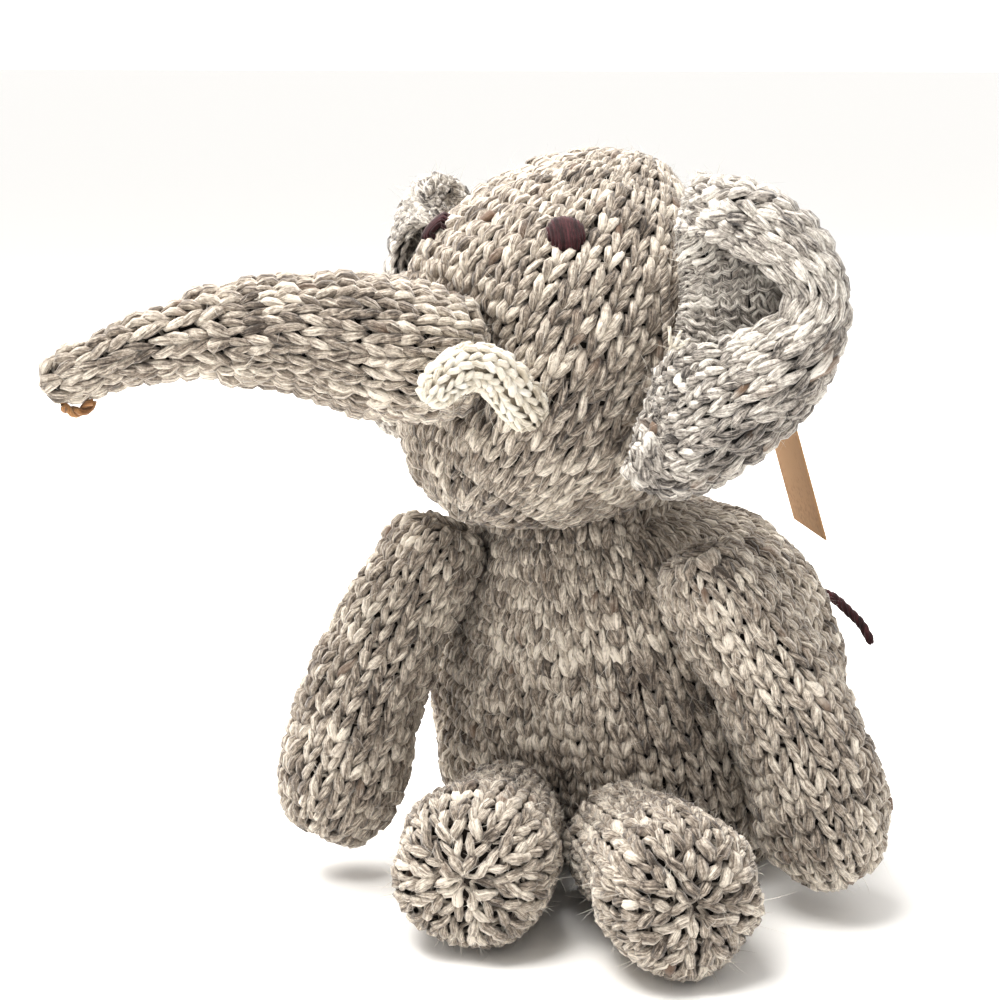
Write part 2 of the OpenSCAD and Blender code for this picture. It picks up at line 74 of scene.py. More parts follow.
def stuffed_form(node, middle, columns, rings, seam_to=(0, 0, 1), far=0.003):
    """Rings of points on the outside of a stuffed piece, from one gathered end to the other."""
    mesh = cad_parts[node].data
    tree = BVHTree.FromPolygons([v.co for v in mesh.vertices], [p.vertices for p in mesh.polygons])
    middle = np.array(middle, float)
    steps = 14
    leg = np.linalg.norm(np.diff(middle, axis=0), axis=1)
    along = np.concatenate([[0], np.cumsum(leg)])
    stations = []
    heads = unit(np.diff(middle, axis=0))

    def at(s):
        k = min(max(int(np.searchsorted(along, s, side="right")) - 1, 0), len(heads) - 1)
        point = middle[k] + heads[k] * (s - along[k])
        inner = [heads[k]]
        if k > 0 and s - along[k] < 0.012:
            inner.append(heads[k - 1] * (1 - (s - along[k]) / 0.012))
        return point, unit(np.sum(inner, axis=0))

    for i in range(steps):
        stations.append((*at(0), math.pi / 2 * i / steps))
    run = max(2, int(along[-1] / 0.005))
    for i in range(run + 1):
        stations.append((*at(along[-1] * i / run), math.pi / 2))
    for i in range(1, steps + 1):
        stations.append((*at(along[-1]), math.pi / 2 * (1 + i / steps)))
    rows = []
    for point, head, polar in stations:
        first = unit(np.array(seam_to, float) - head * np.dot(seam_to, head))
        second = np.cross(head, first)
        row = []
        for c in range(columns):
            turn = 2 * math.pi * c / columns
            ray = -math.cos(polar) * head + math.sin(polar) * (
                math.cos(turn) * first + math.sin(turn) * second)
            hit = tree.ray_cast(Vector(point), Vector(ray))[0]
            row.append(np.array(hit if hit else Vector(point)) + ray * far)
        rows.append(row)
    rows = np.array(rows)
    even = np.zeros((rings + 1, columns, 3))
    for c in range(columns):
        length = np.concatenate([[0], np.cumsum(np.linalg.norm(np.diff(rows[:, c], axis=0), axis=1))])
        for k in range(3):
            even[:, c, k] = np.interp(np.linspace(0, length[-1], rings + 1), length, rows[:, c, k])
    for _ in range(3):
        around = (np.roll(even, 1, axis=1) + np.roll(even, -1, axis=1)) / 2
        even[1:-1] = even[1:-1] * 0.5 + around[1:-1] * 0.25 + (even[:-2] + even[2:]) * 0.125
    even[0] = even[0].mean(axis=0)
    even[-1] = even[-1].mean(axis=0)
    return even


def bag_mesh(name, form):
    """One closed bag from rings of points, with its faces pointing out."""
    rings, columns = form.shape[0] - 1, form.shape[1]
    points = [form[0, 0]] + list(form[1:-1].reshape(-1, 3)) + [form[-1, 0]]
    faces = []
    for c in range(columns):
        d = (c + 1) % columns
        faces.append((0, 1 + d, 1 + c))
        for r in range(rings - 2):
            a, b = 1 + r * columns, 1 + (r + 1) * columns
            faces.append((a + c, a + d, b + d, b + c))
        last = 1 + (rings - 2) * columns
        faces.append((last + c, last + d, len(points) - 1))
    mesh = bpy.data.meshes.new(name)
    mesh.from_pydata([tuple(p) for p in points], [], faces)
    piece = bpy.data.objects.new(name, mesh)
    bpy.context.collection.objects.link(piece)
    bpy.ops.object.select_all(action="DESELECT")
    piece.select_set(True)
    bpy.context.view_layer.objects.active = piece
    bpy.ops.object.mode_set(mode="EDIT")
    bpy.ops.mesh.select_all(action="SELECT")
    bpy.ops.mesh.normals_make_consistent(inside=False)
    bpy.ops.object.mode_set(mode="OBJECT")
    return piece


def stuff(piece, form, pressure=4.0, most=0.0035, lumps=0.0008, seed=1):
    """Fills the bag: cloth under pressure, each point kept within a few millimetres of its place."""
    rings, columns = form.shape[0] - 1, form.shape[1]
    before = np.array([v.co for v in piece.data.vertices])
    cloth = piece.modifiers.new("stuffing_pressure", "CLOTH")
    cloth.settings.use_pressure = True
    cloth.settings.uniform_pressure_force = pressure
    cloth.settings.effector_weights.gravity = 0
    cloth.settings.quality = 4
    cloth.settings.tension_stiffness = 8
    cloth.settings.compression_stiffness = 8
    cloth.settings.shear_stiffness = 3
    cloth.settings.bending_stiffness = 0.2
    cloth.point_cache.frame_start = 1
    last_step = 20
    cloth.point_cache.frame_end = last_step
    for step in range(1, last_step + 1):
        bpy.context.scene.frame_set(step)
    bpy.ops.object.modifier_apply(modifier=cloth.name)
    bpy.context.scene.frame_set(1)
    after = np.array([v.co for v in piece.data.vertices])
    move = after - before
    size = np.linalg.norm(move, axis=1, keepdims=True)
    move *= np.minimum(size, most) / np.maximum(size, 1e-9)
    print("stuffed", piece.name, "mean move mm", round(float(np.mean(size)) * 1000, 2))
    out = np.array([v.normal for v in piece.data.vertices])
    p = before * 1000 + seed * 37.0
    wave = (np.sin(p[:, 0] * 0.21 + 1.3 * np.sin(p[:, 1] * 0.13)) * np.sin(p[:, 2] * 0.19 + p[:, 1] * 0.17)
            + 0.6 * np.sin(p[:, 1] * 0.37 + p[:, 2] * 0.29) * np.sin(p[:, 0] * 0.33))
    filled = before + move + out * (wave * lumps)[:, None]
    grid = np.zeros_like(form)
    grid[0] = filled[0]
    grid[-1] = filled[-1]
    grid[1:-1] = filled[1:-1].reshape(rings - 1, columns, 3)
    return grid


def settle(piece, grid, under, lowest=0.0):
    """Sets the filled bag a little under the stitches, and rounds it once."""
    points = np.concatenate([grid[0][:1], grid[1:-1].reshape(-1, 3), grid[-1][:1]])
    piece.data.vertices.foreach_set("co", points.ravel())
    piece.data.update()
    out = np.array([v.normal for v in piece.data.vertices])
    points = points - out * under
    points[:, 2] = np.maximum(points[:, 2], lowest)
    piece.data.vertices.foreach_set("co", points.ravel())
    piece.data.update()
    bpy.ops.object.select_all(action="DESELECT")
    piece.select_set(True)
    bpy.context.view_layer.objects.active = piece
    round_off = piece.modifiers.new("round_off", "SUBSURF")
    round_off.levels = 1
    round_off.render_levels = 1
    bpy.ops.object.modifier_apply(modifier=round_off.name)
    piece.data.shade_smooth()


def surface(grid, u, v, closed):
    """Smooth points on the fabric. u counts grid columns and v counts rings."""
    rings, columns = grid.shape[0] - 1, grid.shape[1] - (0 if closed else 1)

    def weights(t):
        return [((-t + 2) * t - 1) * t / 2, ((3 * t - 5) * t * t + 2) / 2,
                ((-3 * t + 4) * t + 1) * t / 2, (t - 1) * t * t / 2]

    v = np.clip(v, 0, rings - 1e-6)
    if not closed:
        u = np.clip(u, 0, columns - 1e-6)
    iu, iv = np.floor(u).astype(int), np.floor(v).astype(int)
    wu, wv = weights(u - iu), weights(v - iv)
    total = np.zeros(u.shape + (3,))
    for a in range(4):
        for b in range(4):
            cu = (iu + b - 1) % columns if closed else np.clip(iu + b - 1, 0, columns)
            rv = np.clip(iv + a - 1, 0, rings)
            total += grid[rv, cu] * (wv[a] * wu[b])[..., None]
    return total


def tubes(name, centre, out, radius, loops, sides, shade, fleck, closed=True, flat=0.9):
    """Yarn round the given lines. loops are (start, count) of each line in the arrays."""
    points, faces, uvs = [], [], []
    dents = np.arange(sides) * 2 * math.pi / sides
    base = 0
    values, flecks = [], []
    for start, count in loops:
        c, n, r = centre[start:start + count], out[start:start + count], radius[start:start + count]
        if closed:
            t = np.roll(c, -1, axis=0) - np.roll(c, 1, axis=0)
        else:
            t = np.gradient(c, axis=0)
        t = unit(t)
        side = unit(np.cross(t, n))
        up = np.cross(side, t)
        ring = (c[:, None] + r[:, None, None] * (np.cos(dents)[None, :, None] * side[:, None]
                + flat * np.sin(dents)[None, :, None] * up[:, None]))
        points.append(ring.reshape(-1, 3))
        length = np.concatenate([[0], np.cumsum(np.linalg.norm(np.diff(c, axis=0), axis=1))])
        last = length[-1] + (np.linalg.norm(c[0] - c[-1]) if closed else 0)
        runs = count if closed else count - 1
        i = np.arange(runs)
        j = (i + 1) % count
        k = np.arange(sides)
        m = (k + 1) % sides
        quad = np.stack([base + (i[:, None] * sides + k), base + (i[:, None] * sides + m),
                         base + (j[:, None] * sides + m), base + (j[:, None] * sides + k)], axis=-1)
        faces.append(quad.reshape(-1, 4))
        a0 = length[i] * 100
        a1 = np.append(length, last)[i + 1] * 100
        b0, b1 = k / sides, (k + 1) / sides
        offset = start * 0.37
        corner = np.zeros((runs, sides, 4, 2))
        corner[..., 0, 0] = corner[..., 1, 0] = a0[:, None] + offset
        corner[..., 2, 0] = corner[..., 3, 0] = a1[:, None] + offset
        corner[..., 0, 1] = corner[..., 3, 1] = b0
        corner[..., 1, 1] = corner[..., 2, 1] = b1
        uvs.append(corner.reshape(-1, 2))
        values.append(np.repeat(shade[start:start + count], sides))
        flecks.append(np.repeat(fleck[start:start + count], sides))
        base += count * sides
    points, faces, uvs = np.concatenate(points), np.concatenate(faces), np.concatenate(uvs)
    mesh = bpy.data.meshes.new(name)
    mesh.vertices.add(len(points))
    mesh.vertices.foreach_set("co", points.ravel())
    mesh.loops.add(len(faces) * 4)
    mesh.loops.foreach_set("vertex_index", faces.ravel().astype(np.int32))
    mesh.polygons.add(len(faces))
    mesh.polygons.foreach_set("loop_start", np.arange(0, len(faces) * 4, 4, dtype=np.int32))
    mesh.update(calc_edges=True)
    mesh.uv_layers.new(name="yarn")
    mesh.uv_layers["yarn"].data.foreach_set("uv", uvs.ravel())
    for label, data in (("shade", values), ("fleck", flecks)):
        attribute = mesh.attributes.new(label, "FLOAT", "POINT")
        attribute.data.foreach_set("value", np.concatenate(data).astype(np.float32))
    mesh.shade_smooth()
    piece = bpy.data.objects.new(name, mesh)
    bpy.context.collection.objects.link(piece)
    return piece


def smooth_random(chance, count, span):
    """Random values that change slowly along the yarn."""
    knots = chance.standard_normal(int(count / span) + 4)
    return np.interp(np.arange(count) / span, np.arange(len(knots)), knots)


def knit(name, grid, columns, rows, seed, closed=True, purl=False, width=0.00635, thick=1.0,
         sides=5, lowest=0.0, skip=0.5, toward_end=True, rest=0.0, fuzz=1.0):
    """Courses of looped yarn over the fabric's grid, with the loose fibres that stand off it."""
    chance = np.random.default_rng(seed)
    rings = grid.shape[0] - 1
    grid_columns = grid.shape[1] - (0 if closed else 1)
    # one loop: sinker, base, leg, shoulder, head and back again; across, along and off the fabric
    key = np.array([(-0.50, 1.35, -1.6), (-0.10, 1.00, -0.5), (-0.235, 0.32, 1.0), (-0.36, -0.36, -0.35),
                    (0.0, -0.70, -1.4), (0.36, -0.36, -0.35), (0.235, 0.32, 1.0), (0.10, 1.00, -0.5)])
    size = np.array([0.55, 0.72, 1.24, 0.80, 0.55, 0.80, 1.24, 0.72])
    places = np.array([0.0, 0.7, 1.2, 1.7, 2.3, 3.0, 4.0, 5.0, 5.7, 6.3, 6.8, 7.3])
    wide = np.concatenate([key - (1, 0, 0), key, key + (1, 0, 0)])
    loop = np.zeros((yarn_points, 3))
    for i, t in enumerate(places):
        k = int(t) + 8
        f = t - int(t)
        w = [((-f + 2) * f - 1) * f / 2, ((3 * f - 5) * f * f + 2) / 2,
             ((-3 * f + 4) * f + 1) * f / 2, (f - 1) * f * f / 2]
        loop[i] = sum(w[a] * wide[k + a - 1] for a in range(4))
    loop_size = np.interp(places, np.arange(9), np.append(size, size[0]))
    centre_u, centre_v, lift, thickness, lines, tone, brown = [], [], [], [], [], [], []
    total = 0
    for row in range(rows):
        middle = row + 0.5
        probe = surface(grid, np.linspace(0, grid_columns, 49)[:(48 if closed else 49)],
                        np.full(48 if closed else 49, middle / rows * rings), closed)
        if closed:
            girth = np.linalg.norm(probe - np.roll(probe, 1, axis=0), axis=1).sum()
        else:
            girth = np.linalg.norm(np.diff(probe, axis=0), axis=1).sum()
        count = columns
        while girth / count < width * skip and count > 4:
            count = (count + 1) // 2
        if girth < width * 2.0:
            continue
        local = girth / count / width
        n = np.arange(count)
        across = (n + 0.5) / count * grid_columns
        step = grid_columns / count
        shift_u = smooth_random(chance, count, 1) * 0.035 * step
        shift_v = smooth_random(chance, count, 1) * 0.12
        plump = 1 + np.clip(smooth_random(chance, count, 1), -2, 2) * 0.13
        slant = smooth_random(chance, count, 1) * 0.16
        side_plump = 1 + chance.standard_normal((count, yarn_points)) * 0.03
        sign = 1 if toward_end else -1
        u = across[:, None] + shift_u[:, None] + loop[None, :, 0] * step
        v = middle + shift_v[:, None] + sign * (loop[None, :, 1] - 0.35) * (1 + slant[:, None] * 0.3)
        u = u + slant[:, None] * (loop[None, :, 1] - 0.4) * step * 0.35
        h = loop[None, :, 2] * (-1 if purl else 1) * (0.0011 * min(1.1, local ** 0.5)) * plump[:, None]
        r = (yarn_width / 2 * thick * min(1.08, 0.45 + 0.55 * local) * loop_size[None, :]
             * plump[:, None] * side_plump)
        centre_u.append(u.ravel())
        centre_v.append(v.ravel())
        lift.append(h.ravel())
        r = r.ravel()
        if not closed:
            r[:3] *= (0.5, 0.7, 0.9)
            r[-3:] *= (0.9, 0.7, 0.5)
        thickness.append(r)
        m = count * yarn_points
        tone.append(0.5 + 0.03 * smooth_random(chance, m, 90) + 0.11 * smooth_random(chance, m, 7)
                    + 0.11 * smooth_random(chance, m, 3))
        brown.append(np.clip(smooth_random(chance, m, 5) - 1.5, 0, 1) * 1.1)
        lines.append((total, m))
        total += m
    u, v = np.concatenate(centre_u), np.concatenate(centre_v) / rows * rings
    lift, thickness = np.concatenate(lift), np.concatenate(thickness)
    tone, brown = np.clip(np.concatenate(tone), 0, 1), np.concatenate(brown)
    place = surface(grid, u, v, closed)
    tiny = 0.15
    du = surface(grid, u + tiny, v, closed) - surface(grid, u - tiny, v, closed)
    dv = (surface(grid, u, np.clip(v + tiny, 0, rings), closed)
          - surface(grid, u, np.clip(v - tiny, 0, rings), closed))
    out = unit(np.cross(du, dv))
    middle_of = grid.reshape(-1, 3).mean(axis=0)
    if closed and np.mean(np.sum(out * (place - middle_of), axis=1)) < 0:
        out = -out
    if not closed and (np.sum(out * (place - middle_of), axis=1).mean() < 0) != purl:
        out = -out
    place = place + out * (lift + rest)[:, None]
    place[:, 2] = np.maximum(place[:, 2], lowest + thickness * 0.9)
    piece = tubes(name, place, out, thickness, lines, sides, tone, brown, closed)
    # loose fibres: thin curved slivers that leave the yarn and mostly lie along it
    fibres = int(total * 0.30 * fuzz)
    pick = chance.integers(0, total, fibres)
    pick = pick[lift[pick] > -0.0004]
    fibres = len(pick)
    along = unit(np.roll(place, -1, axis=0) - place)[pick]
    normal = out[pick]
    across = np.cross(along, normal)
    lean = chance.standard_normal((fibres, 1))
    rise = chance.uniform(0.15, 0.75, (fibres, 1)) ** 1.5 + 0.1
    way = unit(along * chance.choice([-1, 1], (fibres, 1)) + across * lean * 0.8 + normal * rise)
    bend = unit(chance.standard_normal((fibres, 3)) + normal * 0.2)
    length = chance.uniform(0.0022, 0.0062, (fibres, 1)) * (0.7 + 0.9 * chance.random((fibres, 1)) ** 3)
    start = place[pick] + normal * (thickness[pick] * 0.72)[:, None]
    thin = unit(np.cross(way, normal + 0.3 * bend)) * 0.00006
    steps = [start]
    for s in (0.33, 0.66, 1.0):
        steps.append(start + way * length * s + bend * length * 0.45 * s * s)
    rows_of = []
    for i, p in enumerate(steps):
        w = (1.0, 0.9, 0.6, 0.15)[i]
        rows_of.append(p - thin * w)
        rows_of.append(p + thin * w)
    verts = np.stack(rows_of, axis=1).reshape(-1, 3)
    verts[:, 2] = np.maximum(verts[:, 2], 0.0002)
    base = np.arange(fibres)[:, None] * 8
    quads = np.concatenate([base + np.array([a, a + 1, a + 3, a + 2]) for a in (0, 2, 4)])
    mesh = bpy.data.meshes.new(name + "_halo")
    mesh.from_pydata(verts.tolist(), [], quads.tolist())
    halo_tone = mesh.attributes.new("shade", "FLOAT", "POINT")
    halo_tone.data.foreach_set("value", np.repeat(np.clip(tone[pick] + 0.12, 0, 1), 8).astype(np.float32))
    halo = bpy.data.objects.new(name + "_halo", mesh)
    bpy.context.collection.objects.link(halo)
    print(name, "triangles", len(piece.data.polygons) * 2, "+", len(mesh.polygons) * 2)
    return piece, halo


def node_of(tree, kind, **values):
    node = tree.nodes.new(kind)
    for key, value in values.items():
        if hasattr(node, key):
            setattr(node, key, value)
        else:
            node.inputs[key.replace("_", " ")].default_value = value
    return node


def wool(name, dark, mid, light, spots, roughness=0.92, streak=0.5, bump=0.00045, sheen=0.35):
    """Handspun single: fibres streaked along the yarn, slubs of lighter wool and a few brown spots."""
    material = bpy.data.materials.new(name)
    material.use_nodes = True
    tree = material.node_tree
    shader = tree.nodes["Principled BSDF"]
    shader.inputs["Roughness"].default_value = roughness
    shader.inputs["Sheen Weight"].default_value = sheen
    shader.inputs["Sheen Roughness"].default_value = 0.6
    shader.inputs["Specular IOR Level"].default_value = 0.15
    yarn = node_of(tree, "ShaderNodeUVMap", uv_map="yarn")
    twist = node_of(tree, "ShaderNodeMapping")
    twist.inputs["Scale"].default_value = (1.1, 6.0, 1.0)
    twist.inputs["Rotation"].default_value = (0, 0, 0.22)
    fibre = node_of(tree, "ShaderNodeTexNoise", Scale=1.6, Detail=5.0, Roughness=0.75)
    fine = node_of(tree, "ShaderNodeTexNoise", Scale=900.0, Detail=3.0, Roughness=0.7)
    place = node_of(tree, "ShaderNodeTexCoord")
    slub = node_of(tree, "ShaderNodeTexNoise", Scale=160.0, Detail=2.0)
    patch = node_of(tree, "ShaderNodeTexNoise", Scale=28.0, Detail=2.0)
    tone = node_of(tree, "ShaderNodeAttribute", attribute_name="shade")
    spot = node_of(tree, "ShaderNodeAttribute", attribute_name="fleck")
    link = tree.links.new
    link(yarn.outputs[0], twist.inputs[0])
    link(twist.outputs[0], fibre.inputs["Vector"])
    for n in (fine, slub, patch):
        link(place.outputs["Object"], n.inputs["Vector"])

    def maths(kind, a, b, c=None):
        n = node_of(tree, "ShaderNodeMath", operation=kind)
        for i, x in enumerate((a, b, c)):
            if x is None:
                continue
            if isinstance(x, (int, float)):
                n.inputs[i].default_value = x
            else:
                link(x, n.inputs[i])
        return n.outputs[0]

    level = tone.outputs["Fac"]
    for noise, share in ((fibre, streak * 5.5), (fine, 0.9), (slub, 0.45), (patch, 0.5)):
        level = maths("MULTIPLY_ADD", maths("SUBTRACT", noise.outputs[0], 0.5), share, level)
    ramp = node_of(tree, "ShaderNodeValToRGB")
    ramp.color_ramp.elements[0].position = 0.08
    ramp.color_ramp.elements[0].color = (*dark, 1)
    ramp.color_ramp.elements[1].position = 0.92
    ramp.color_ramp.elements[1].color = (*light, 1)
    between = ramp.color_ramp.elements.new(0.46)
    between.color = (*mid, 1)
    link(level, ramp.inputs[0])
    mix = node_of(tree, "ShaderNodeMix", data_type="RGBA")
    mix.inputs["B"].default_value = (*spots, 1)
    link(ramp.outputs[0], mix.inputs["A"])
    link(maths("MULTIPLY", spot.outputs["Fac"], 0.8), mix.inputs["Factor"])
    link(mix.outputs["Result"], shader.inputs["Base Color"])
    height = maths("ADD", fibre.outputs[0], maths("MULTIPLY", fine.outputs[0], 0.55))
    rough = node_of(tree, "ShaderNodeBump", Strength=0.9, Distance=bump)
    link(height, rough.inputs["Height"])
    link(rough.outputs[0], shader.inputs["Normal"])
    return material


grey_marl = wool("grey_marl_wool", (0.062, 0.046, 0.035), (0.34, 0.285, 0.232), (0.82, 0.75, 0.65),
                 (0.15, 0.085, 0.05))
halo_wool = wool("loose_wool_fibre", (0.20, 0.17, 0.15), (0.52, 0.48, 0.43), (0.85, 0.81, 0.74),
                 (0.25, 0.16, 0.1), streak=0.0, bump=0.0)
# The bags under the stitches are coloured near-black: painted shade that shows in the gaps between the
# stitches.
shadow_wool = wool("painted_shade_between_stitches", (0.028, 0.022, 0.017), (0.065, 0.053, 0.043),
                   (0.17, 0.15, 0.13), (0.1, 0.06, 0.04), streak=0.1, sheen=0.1)


def finish_bag(bag, knitted, halo, body, cover):
    # the bag carries the painted shade seen between the stitches
    bag.data.materials.append(shadow_wool)
    knitted.data.materials.append(grey_marl)
    halo.data.materials.append(halo_wool)
    for piece in (bag, knitted, halo):
        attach(piece, body)
    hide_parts(cover.replace("_cover", "_stuffing"))
    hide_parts(cover)


torso_form = stuffed_form("torso_stuffing", [(-0.002, -0.004, 0.038), (-0.005, -0.010, 0.062)], 50, 34,
                          seam_to=(0, 1, 0), far=stitch_depth)
torso_bag = bag_mesh("torso_bag", torso_form)
torso_grid = stuff(torso_bag, torso_form, seed=1)
torso_knit, torso_halo = knit("torso_knit", torso_grid, 52, 40, seed=11, toward_end=False)
settle(torso_bag, torso_grid, bag_sink, 0.0005)
finish_bag(torso_bag, torso_knit, torso_halo, "torso", "torso_cover")

# ---- Head ---------------------------------------------------------------------------------------
# A second stuffed bag, knitted from the neck up. Its columns of stitches run up the cheeks and close
# on the crown, behind the top. The trunk, the ears, the tusks and the eyes are sewn on it.
head_x = np.array((0.927184, -0.374607, 0.0))
head_y = np.array((0.373181, 0.923656, 0.0871557))
head_z = np.array((-0.0326491, -0.0808094, 0.996195))
head_low, head_high = [np.array(v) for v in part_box("head_stuffing")]
head_middle = (head_low + head_high) / 2
crown_way = unit(head_z * 0.80 + head_y * 0.58 + head_x * 0.08)
head_line = [head_middle - crown_way * 0.014, head_middle + crown_way * 0.012]
head_form = stuffed_form("head_stuffing", head_line, 44, 34, seam_to=tuple(head_y), far=stitch_depth)
head_bag = bag_mesh("head_bag", head_form)
head_grid = stuff(head_bag, head_form, seed=2)
head_knit, head_halo = knit("head_knit", head_grid, 44, 33, seed=12, toward_end=False)
settle(head_bag, head_grid, bag_sink)
finish_bag(head_bag, head_knit, head_halo, "head", "head_cover")

# ---- Neck ---------------------------------------------------------------------------------------
# The last rounds of the torso are drawn together into a short collar, and the head is sewn down on it
# with one turn of the same wool.
neck_middle = np.array((-0.010, -0.020, 0.1015))
collar_rings, collar_columns = 8, 26
collar = np.zeros((collar_rings + 1, collar_columns, 3))
for r in range(collar_rings + 1):
    rise = -0.0065 + 0.013 * r / collar_rings
    wide = 0.0265 - 0.0030 * math.cos(math.pi * rise / 0.0065) * 0.5
    for c in range(collar_columns):
        turn = 2 * math.pi * c / collar_columns
        collar[r, c] = neck_middle + np.array((wide * math.cos(turn), wide * 0.96 * math.sin(turn), rise))
collar_knit, collar_halo = knit("neck_collar", collar, 24, 3, seed=21, toward_end=False, fuzz=0.5)
collar_knit.data.materials.append(grey_marl)
collar_halo.data.materials.append(halo_wool)
for piece in (collar_knit, collar_halo):
    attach(piece, "neck")

# ---- Trunk --------------------------------------------------------------------------------------
# A long tapering tube of the same wool, stuffed and sewn to the middle of the face. Its stitches run
# along it, and the last of them are drawn together at the tip with a dab of amber yarn.
trunk_root = np.array((-0.0278, -0.0774, 0.1492))
trunk_way = unit(np.array((-0.786776, -0.612606, -0.0754791)))
dots = np.array([v.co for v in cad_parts["trunk_stuffing"].data.vertices])
reach = (dots - trunk_root) @ trunk_way
cuts = np.linspace(reach.min(), reach.max(), 9)
trunk_middle = [dots[(reach >= cuts[k]) & (reach <= cuts[k + 1])].mean(axis=0) for k in range(8)]
trunk_middle = [trunk_middle[0]] + [(trunk_middle[k - 1] + 2 * trunk_middle[k] + trunk_middle[k + 1]) / 4
                                    for k in range(1, 7)] + [trunk_middle[7]]
trunk_middle = [trunk_middle[0] * 0.3 + trunk_middle[1] * 0.7] + trunk_middle[1:7] + [
    trunk_middle[6] * 0.4 + trunk_middle[7] * 0.6]
trunk_form = stuffed_form("trunk_stuffing", trunk_middle, 18, 30, seam_to=(0, 0, -1), far=stitch_depth)
trunk_bag = bag_mesh("trunk_bag", trunk_form)
trunk_grid = stuff(trunk_bag, trunk_form, seed=3)
trunk_knit, trunk_halo = knit("trunk_knit", trunk_grid, 18, 27, seed=13, toward_end=False, thick=1.05,
                              skip=0.62)
settle(trunk_bag, trunk_grid, bag_sink)
finish_bag(trunk_bag, trunk_knit, trunk_halo, "trunk", "trunk_cover")

# ---- Arms ---------------------------------------------------------------------------------------
# Two stuffed tubes that hang from the shoulders and rest their gathered hands beside the seat. The
# stitches run down them, and each is closed and sewn on with one turn of yarn.
shoulders = {"left": (0.0419, -0.0439, 0.0860), "right": (-0.0450, -0.0442, 0.0846)}
hands = {"left": (0.072, -0.035, 0.0215), "right": (-0.060, -0.072, 0.0215)}
for number, side in enumerate(("left", "right")):
    low, high = [np.array(v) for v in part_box(side + "_arm_stuffing")]
    top, hand = np.array(shoulders[side]), np.array(hands[side])
    bow = np.array(((low[0] + high[0]) / 2 - (top[0] + hand[0]) / 2,
                    (low[1] + high[1]) / 2 - (top[1] + hand[1]) / 2, 0))
    line = [top, (top + hand) / 2 + bow, hand]
    form = stuffed_form(side + "_arm_stuffing", line, 18, 34, seam_to=(0, 1, 0), far=stitch_depth)
    bag = bag_mesh(side + "_arm_bag", form)
    grid = stuff(bag, form, seed=4 + number)
    knitted, halo = knit(side + "_arm_knit", grid, 18, 27, seed=14 + number, skip=0.6)
    settle(bag, grid, bag_sink, 0.0004)
    finish_bag(bag, knitted, halo, side + "_arm", side + "_arm_cover")

# ---- Legs ---------------------------------------------------------------------------------------
# Two short, thick stuffed tubes that lie on the table and point forward. Each sole is a flat round of
# stitches that are drawn in to its middle.
hips = {"left": (0.0245, -0.0600, 0.0180), "right": (-0.0125, -0.0600, 0.0180)}
feet = {"left": (0.0620, -0.1003, 0.0229), "right": (0.0036, -0.1126, 0.0229)}
for number, side in enumerate(("left", "right")):
    hip, foot = np.array(hips[side]), np.array(feet[side])
    line = [hip + (foot - hip) * 0.05, hip + (foot - hip) * 0.82]
    form = stuffed_form(side + "_leg_stuffing", line, 20, 30, seam_to=(0, 0, -1), far=stitch_depth)
    bag = bag_mesh(side + "_leg_bag", form)
    grid = stuff(bag, form, seed=6 + number)
    knitted, halo = knit(side + "_leg_knit", grid, 20, 24, seed=16 + number, lowest=0.0002, skip=0.72)
    settle(bag, grid, bag_sink, 0.0004)
    finish_bag(bag, knitted, halo, side + "_leg", side + "_leg_cover")

# ---- Ears ---------------------------------------------------------------------------------------
# Each ear is one thick knitted panel, sewn to the side of the head along one edge. The fabric rolls
# forward by itself at the rim, so the outside shows again in front and the purl side lines the cup.
ear_wool = wool("ear_marl_wool", (0.050, 0.042, 0.037), (0.40, 0.36, 0.32), (0.90, 0.86, 0.79),
                (0.20, 0.12, 0.07), streak=0.5)
# The ear's core panel is coloured near-black: painted shade that shows between the stitches of its two
# knitted faces.
ear_shadow = wool("painted_shade_inside_ear", (0.03, 0.028, 0.026), (0.10, 0.09, 0.082), (0.2, 0.18, 0.165),
                  (0.1, 0.06, 0.04), streak=0.1, sheen=0.1)


def plain_tone(count, chance, middle=0.5, spread=0.1):
    return np.clip(middle + spread * smooth_random(chance, count, 6), 0, 1), np.zeros(count)


